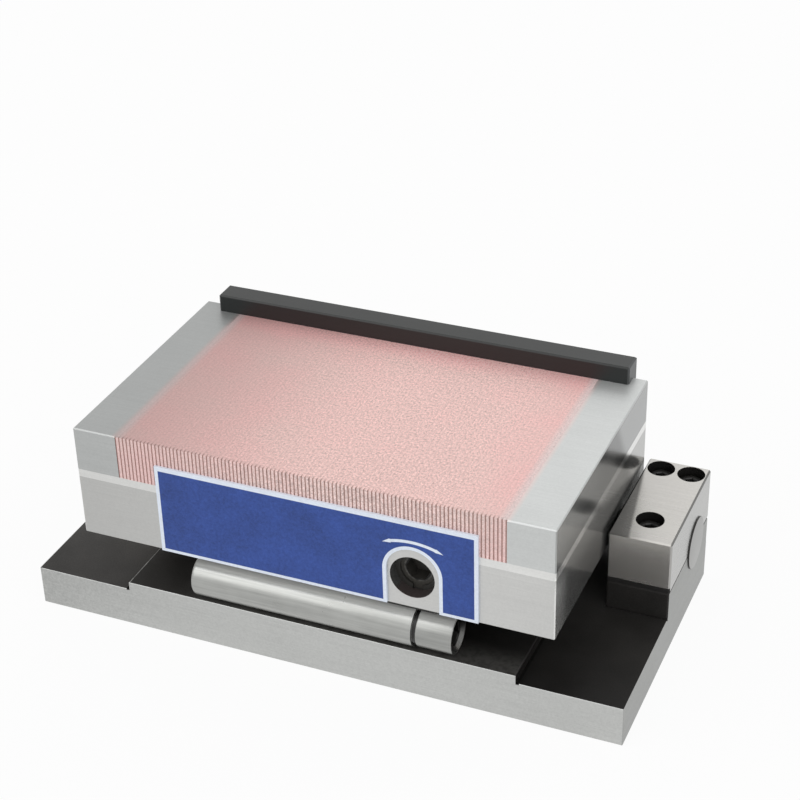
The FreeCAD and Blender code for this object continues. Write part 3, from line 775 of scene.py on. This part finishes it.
def labelPrint():
    material, tree = newFinish("enamelledPlate")
    look = labelLook
    low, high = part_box("label_plate")
    place = tree.place()
    x, _, z = tree.parts(place)
    # the distance from the outline in border widths: the nearest of the four sides and the arch
    sides = (x - low.x).least(high.x - x) / look["sideBorder"]
    ends = ((z - low.z) / look["footBorder"]).least((high.z - z) / look["headBorder"])
    archX, archZ = look["archMiddle"]
    arch = (farFrom(x - archX, (z - archZ).most(0.0)) - look["archHalfWidth"]) / look["archBorder"]
    border = 1 - sides.least(ends).least(arch).rise(*look["borderEnd"])
    # the arrow: a band round its middle, as wide as the way to the nearer tip allows
    arrowX, arrowZ = look["arrowMiddle"]
    acrossX = x - arrowX
    acrossZ = z - arrowZ
    away = farFrom(acrossX, acrossZ) - look["arrowRadius"]
    turn = acrossX.math("ARCTAN2", acrossZ) - look["arrowTurn"]
    toTip = (look["arrowHalfAngle"] - abs(turn)) * look["arrowRadius"]
    head = toTip < look["headLength"]
    half = toTip * (look["headHalf"] / look["headLength"]) * head + (1 - head) * look["lineHalf"]
    arrow = 1 - (abs(away) - half).rise(-look["soft"], look["soft"])
    pale = border.most(arrow).held()
    clouds = tree.noise(place, look["cloudSize"], 3.0) - 0.5
    peel = tree.noise(place, look["peelSize"], 3.0, 0.7) - 0.5
    light = 1 + clouds * (look["cloud"] - pale * look["cloudLess"])
    light = light + peel * (look["peel"] - pale * look["peelLess"])
    colour = tree.shaded(tree.mixed(pale, look["blue"], look["pale"]), light)
    relief = tree.bump(peel + pale * look["printHeight"], look["reliefStrength"], look["reliefDepth"])
    tree.surface(colour, look["rough"] + clouds * look["cloudDull"], 0.0, relief, look["gloss"])
    return material


# Black oxide: a thin uneven film on steel, with rub marks along the piece
oxide = {
    "line": 0.3,
    "band": 0.2,
    "cloud": 0.3,
    "cloudDull": 0.3,
    "speckSize": 0.6 * mm,
    "speck": 0.3,
}


def oxideOn(tree, tone, rough, **marks):
    mark = {**oxide, **marks}
    lines, bands, clouds = grain(tree)
    specks = tree.noise(tree.place(), mark["speckSize"], 2.0) - 0.5
    light = 1 + lines * mark["line"] + bands * mark["band"]
    light = light + clouds * mark["cloud"] + specks * mark["speck"]
    relief = tree.bump(lines + specks, grinding["reliefStrength"], grinding["reliefDepth"])
    tree.surface(tree.shaded(tone, light), rough * (1 + clouds * mark["cloudDull"]), 0.0, relief)


def blackOxide(name, tone, rough):
    material, tree = newFinish(name)
    oxideOn(tree, tone, rough)
    return material


# Stop rail: blackened bar, painted paler on top and at its ends as painted light
railLook = {
    "front": screen(13, 18, 18),
    "top": screen(30, 32, 31),
    "end": screen(66, 68, 69),
    "lean": (0.4, 0.8),
    "rough": 0.4,
    "marks": {"line": 0.4, "band": 0.3, "cloud": 0.4, "speck": 0.4},
}


def stopRailBlack():
    material, tree = newFinish("blackStopRail")
    look = railLook
    lean = facing(tree)
    # painted light: the top and the ends take paler tones than the front
    tone = tree.mixed(lean[2].rise(*look["lean"]), look["front"], look["top"])
    tone = tree.mixed(abs(lean[0]).rise(*look["lean"]), tone, look["end"])
    oxideOn(tree, tone, look["rough"], **look["marks"])
    return material


# Switch spindle: blackened, with a key socket whose mouth is painted dark as painted shade, and whose lip
# is lighter in patches
spindleLook = {
    "tone": screen(66, 64, 60),
    "mouthShade": screen(24, 24, 23),
    "lip": screen(104, 103, 99),
    "bevelRadius": 4.85 * mm,
    "lipWidth": 0.3 * mm,
    "mottleSize": 1.2 * mm,
    "mottle": 0.9,
    "lipPatchSize": 2.4 * mm,
    "lipPatchRise": (0.3, 0.7),
    "reliefDepth": 0.02 * mm,
    "rough": 0.5,
    "gloss": 0.3,
}


def spindleBlack():
    material, tree = newFinish("blackSpindle")
    look = spindleLook
    place = tree.place()
    x, y, z = tree.parts(place)
    boreX, boreZ = bodyLook["boreAt"]
    away = farFrom(x - boreX, z - boreZ)
    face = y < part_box("switch_spindle")[0].y + skin
    # painted shade: the key socket's mouth is painted dark, where a bevel would lie in shadow
    mouthShade = face * (away < look["bevelRadius"])
    lip = face * (abs(away - look["bevelRadius"]) < look["lipWidth"])
    mottle = tree.noise(place, look["mottleSize"], 3.0, 0.7) - 0.5
    lipPatches = tree.noise(place, look["lipPatchSize"], 2.0).rise(*look["lipPatchRise"])
    tone = tree.mixed(mouthShade, look["tone"], look["mouthShade"])
    tone = tree.mixed(lip * lipPatches, tone, look["lip"])
    relief = tree.bump(mottle, grinding["reliefStrength"], look["reliefDepth"])
    tree.surface(tree.shaded(tone, 1 + mottle * look["mottle"]), look["rough"], 0.0, relief, look["gloss"])
    return material


# Inner pieces: milled soft iron, sand-cast bronze and pressed ferrite
innerLook = {
    "cloudSize": 12 * mm,
    "cloud": 0.2,
    "cloudDull": 0.3,
    "grain": 0.25,
    "reliefStrength": 0.4,
    "reliefDepth": 0.02 * mm,
}


def roughMetal(name, tone, rough, metal, grainSize):
    material, tree = newFinish(name)
    look = innerLook
    place = tree.place()
    grains = tree.noise(place, grainSize, 4.0) - 0.5
    clouds = tree.noise(place, look["cloudSize"], 2.0) - 0.5
    light = 1 + grains * look["grain"] + clouds * look["cloud"]
    relief = tree.bump(grains, look["reliefStrength"], look["reliefDepth"])
    tree.surface(tree.shaded(tone, light), rough * (1 + clouds * look["cloudDull"]), metal, relief)
    return material


# Plain finishes: tone and roughness, and for the inner pieces also metal and grain size
plainLook = {
    "shaft": (screen(162, 163, 160), 0.30),
    "shaftBand": 0.3,
    "rack": (screen(120, 120, 116), 0.45),
    "screw": (screen(34, 33, 32), 0.4),
    "ring": (screen(50, 49, 46), 0.5),
    "sinePlate": (screen(44, 44, 42), 0.45),
    "iron": (screen(150, 150, 148), 0.5, 1.0, 0.7 * mm),
    "bronze": (screen(190, 150, 90), 0.45, 1.0, 1.1 * mm),
    "ferrite": (screen(62, 62, 65), 0.7, 0.0, 0.5 * mm),
}


def finishPieces():
    plain = plainLook
    screwBlack = blackOxide("blackScrew", *plain["screw"])
    cap = capSteel()
    discs = plugSteel()
    roll = rollSteel()
    finishes = {
        "base_plate": blackenedBase(),
        "label_plate": labelPrint(),
        "hinge_cap_left": cap,
        "hinge_cap_right": cap,
        "hinge_cap_screws": screwBlack,
        "bearing_plugs": discs,
        "pivot_shaft": groundSteel("turnedSteel", *plain["shaft"], band=plain["shaftBand"]),
        "sine_plate": blackOxide("blackSinePlate", *plain["sinePlate"]),
        "sine_roller": roll,
        "roller_end_plug": roll,
        "roller_screws": screwBlack,
        "shaft_screws": screwBlack,
        "sine_plate_screws": screwBlack,
        "chuck_housing": bodySteel("groundBody"),
        "spacer_frame": bodySteel("stainlessSpacer"),
        "end_rail_left": bodySteel("groundRailLeft"),
        "end_rail_right": bodySteel("groundRailRight"),
        "pole_laminations": workingFace("laminatedFace", "lamination"),
        "pole_separators": workingFace("copperLines", "separator"),
        "top_plate_screws": screwBlack,
        "switch_spindle": spindleBlack(),
        "spindle_retaining_ring": blackOxide("blackRing", *plain["ring"]),
        "drive_rack": groundSteel("milledRack", *plain["rack"]),
        "rack_pins": screwBlack,
        "magnet_carrier": roughMetal("castBronze", *plain["bronze"]),
        "magnets": roughMetal("pressedFerrite", *plain["ferrite"]),
        "flux_bars": roughMetal("milledIron", *plain["iron"]),
        "stop_rail": stopRailBlack(),
        "stop_rail_screws": screwBlack,
    }
    for name, material in finishes.items():
        dress(name, material)
    say("finishes on %d pieces" % len(finishes))
    return roll, screwBlack, discs


# Sine roller and its end plug: turned, ground and dished at the end (all in mm)
rollerShape = {
    "axis": (-46.3, 26.0),  # y and z
    "left": -46.75,
    "leftEase": 1.4,
    "radius": 7.5,
    "shoulder": 36.7,
    "shoulderEase": 0.15,
    "groove": 1.4,
    "grooveRadius": 6.5,
    "grooveEase": 0.1,
    "boreRadius": 3.4,
    "boreStart": 27.7,
    "spigotRadius": 3.37,
    "spigotStart": 29.1,
    "spigotEase": 0.4,
    "plugRadius": 7.15,
    "plugEase": 0.6,
    "right": 51.3,
    "rimEase": 0.4,
    "rim": 0.75,
    "innerEase": 0.15,
    "dish": 1.3,
    "dishRadius": 4.9,
    "dishEase": 0.3,
    "keyHalf": 4.0,
    "keyMouth": 4.4,
    "keyBevel": 0.4,
    "keyDepth": 4.6,
    "keyEase": 0.05,
}


def turnRoller(steel):
    shape = rollerShape
    start = shape["shoulder"]
    end = start + shape["groove"]
    roller = [
        (shape["left"], 0),
        (shape["left"], shape["radius"], shape["leftEase"]),
        (start, shape["radius"], shape["shoulderEase"]),
        (start, shape["grooveRadius"], shape["grooveEase"]),
        (end, shape["grooveRadius"], shape["grooveEase"]),
        (end, shape["boreRadius"], shape["grooveEase"]),
        (shape["boreStart"], shape["boreRadius"]),
        (shape["boreStart"], 0),
    ]
    right = shape["right"]
    face = right - shape["dish"]
    plug = [
        (shape["spigotStart"], 0),
        (shape["spigotStart"], shape["spigotRadius"], shape["spigotEase"]),
        (end, shape["spigotRadius"]),
        (end, shape["plugRadius"], shape["plugEase"]),
        (right, shape["plugRadius"], shape["rimEase"]),
        (right, shape["plugRadius"] - shape["rim"], shape["innerEase"]),
        (face, shape["dishRadius"], shape["dishEase"]),
        (face, shape["keyMouth"], shape["keyEase"]),
        (face - shape["keyBevel"], shape["keyHalf"], shape["keyEase"], 1),
        (right - shape["keyDepth"], shape["keyHalf"], shape["keyEase"], 1),
        (right - shape["keyDepth"], 0),
    ]
    centre = (0, *shape["axis"])
    for name, corners, points, node in (
        ("turnedRoller", roller, 8, "sine_roller"),
        ("turnedPlug", plug, 6, "roller_end_plug"),
    ):
        parts = [turned(corners, centre, (1, 0, 0), points)]
        newPiece(name, parts, steel, "chuck", node)
    say("roller and end plug turned")


# Cap screws: knurled heads with a bevelled key socket (in mm)
capScrewShape = {
    "top": 43.4,
    "head": 5.0,
    "headRadius": 4.25,
    "headEase": 0.55,
    "knurl": 0.14,
    "knurlFrom": (0.75, 0.95),
    "knurlTo": (4.6, 4.8),
    "footRadius": 4.15,
    "keyHalf": 2.0,
    "keyMouth": 2.44,
    "keyBevel": 0.35,
    "keyDepth": 2.6,
    "keyTip": 3.1,
    "mouthEase": 0.08,
    "shankRadius": 2.5,
    "neckEase": 0.2,
    "shankEnd": 27.0,
    "shankBevel": 0.6,
    "edgeEase": 0.05,
}


def turnCapScrews(black):
    shape = capScrewShape
    ease = shape["edgeEase"]
    ridge = (0, shape["knurl"])
    plainFrom, knurlFrom = shape["knurlFrom"]
    knurlTo, plainTo = shape["knurlTo"]
    corners = [
        (shape["keyTip"], 0),
        (shape["keyDepth"], shape["keyHalf"], ease, 1),
        (shape["keyBevel"], shape["keyHalf"], ease, 1),
        (0, shape["keyMouth"], shape["mouthEase"]),
        (0, shape["headRadius"], shape["headEase"]),
        (plainFrom, shape["headRadius"], ease),
        (knurlFrom, shape["headRadius"], ease, *ridge),
        (knurlTo, shape["headRadius"], ease, *ridge),
        (plainTo, shape["headRadius"], ease),
        (shape["head"], shape["footRadius"], ease),
        (shape["head"], shape["shankRadius"], shape["neckEase"]),
        (shape["shankEnd"] - shape["shankBevel"], shape["shankRadius"], ease),
        (shape["shankEnd"], shape["shankRadius"] - shape["shankBevel"], ease),
        (shape["shankEnd"], 0),
    ]
    parts = []
    for side in (-1, 1):
        for x, y in capLook["screws"]:
            centre = (side * x / mm, y / mm, shape["top"])
            parts.append(turned(corners, centre, (0, 0, -1), 3))
    newPiece("socketScrews", parts, black, "base", "hinge_cap_screws")
    say("%d cap screws turned" % len(parts))


# Bearing plugs: low discs with a broken edge (in mm)
discShape = {
    "inner": 108.0,
    "innerEase": 0.2,
    "face": 111.55,
    "faceEase": 0.25,
    "radius": 9.7,
    "axis": (33.7, 26.0),  # y and z
}


def turnBearingPlugs(steel):
    shape = discShape
    thick = shape["face"] - shape["inner"]
    corners = [
        (0, 0),
        (0, shape["radius"], shape["innerEase"]),
        (thick, shape["radius"], shape["faceEase"]),
        (thick, 0),
    ]
    parts = [turned(corners, (side * shape["inner"], *shape["axis"]), (side, 0, 0), 6) for side in (-1, 1)]
    newPiece("turnedDiscs", parts, steel, "base", "bearing_plugs")
    say("%d bearing plugs turned" % len(parts))


# Camera, at the place and the lens that the edges in the picture give
shot = {
    "turn": math.radians(23.6073),
    "height": math.radians(30.6633),
    "roll": math.radians(-1.6073),
    "eye": (0.2389488, -0.5192192, 0.419484),
    "lens": 85.517,
    "sensor": 36.0,
    "near": 0.01,
}


def aimCamera():
    turn = shot["turn"]
    height = shot["height"]
    flat = math.cos(height)
    back = Vector((math.sin(turn) * flat, -math.cos(turn) * flat, math.sin(height)))
    right = (-back).cross(Vector((0, 0, 1))).normalized()
    up = right.cross(-back)
    cosine = math.cos(shot["roll"])
    sine = math.sin(shot["roll"])
    side = cosine * right + sine * up
    top = cosine * up - sine * right
    camera = bpy.data.cameras.new("camera")
    camera.lens = shot["lens"]
    camera.sensor_width = shot["sensor"]
    camera.clip_start = shot["near"]
    holder = bpy.data.objects.new("camera", camera)
    axes = Matrix((side, top, back)).transposed().to_4x4()
    holder.matrix_world = Matrix.Translation(Vector(shot["eye"])) @ axes
    bpy.context.scene.collection.objects.link(holder)
    bpy.context.scene.camera = holder
    say("camera aimed")


# Light: three large soft panels and a white room
lamps = {
    "key": {"at": (-1.5, -1.8, 2.0), "size": 2.2, "watts": 19},
    "fill": {"at": (1.8, -1.3, 1.5), "size": 2.0, "watts": 9},
    "rear": {"at": (0.1, 2.05, 1.45), "size": 1.1, "watts": 3},
}
lampAim = (0, 0, 0.04)
room = {
    "ambient": 0.7,
    "floorTone": 0.86,
    "floorHalf": 3.0,
    "floorGlow": 0.93,
}


def lightRoom():
    for name, lamp in lamps.items():
        light = bpy.data.lights.new(name, "AREA")
        light.shape = "SQUARE"
        light.size = lamp["size"]
        light.energy = lamp["watts"]
        holder = bpy.data.objects.new(name, light)
        place = Vector(lamp["at"])
        holder.location = place
        holder.rotation_euler = (Vector(lampAim) - place).to_track_quat("-Z", "Y").to_euler()
        holder.visible_camera = False
        bpy.context.scene.collection.objects.link(holder)
    world = bpy.data.worlds.new("room")
    bpy.context.scene.world = world
    tree = Tree(world, "ShaderNodeOutputWorld")
    seen = seenRays(tree)
    strength = room["ambient"] + (1 - room["ambient"]) * seen
    tree.show(tree.node("ShaderNodeBackground", sockets={"Color": (1, 1, 1, 1), "Strength": strength}))
    say("%d lamps and the room lit" % len(lamps))


def seenRays(tree):  # 1 on rays that show the room itself: straight, mirrored or through glass
    kinds = ("Is Camera Ray", "Is Glossy Ray", "Is Transmission Ray")
    rays = [tree.node("ShaderNodeLightPath", output=kind) for kind in kinds]
    return rays[0].most(rays[1]).most(rays[2])


def layFloor():
    half = room["floorHalf"]
    mesh = bpy.data.meshes.new("floor")
    corners = [(-half, -half, 0), (half, -half, 0), (half, half, 0), (-half, half, 0)]
    mesh.from_pydata(corners, [], [(0, 1, 2, 3)])
    floor = bpy.data.objects.new("floor", mesh)
    bpy.context.scene.collection.objects.link(floor)
    material, tree = newFinish("paleFloor")
    tone = room["floorTone"]
    cloth = tree.node("ShaderNodeBsdfDiffuse", sockets={"Color": (tone, tone, tone, 1)})
    glow = tree.node("ShaderNodeEmission", sockets={"Color": (1, 1, 1, 1), "Strength": 1.0})
    share = seenRays(tree) * room["floorGlow"]
    tree.show(tree.node("ShaderNodeMixShader", sockets=[share, cloth, glow]))
    mesh.materials.append(material)
    say("floor laid")


roll, screwBlack, discs = finishPieces()
turnRoller(roll)
turnCapScrews(screwBlack)
turnBearingPlugs(discs)
aimCamera()
lightRoom()
layFloor()
bpy.context.scene.view_settings.view_transform = "Standard"
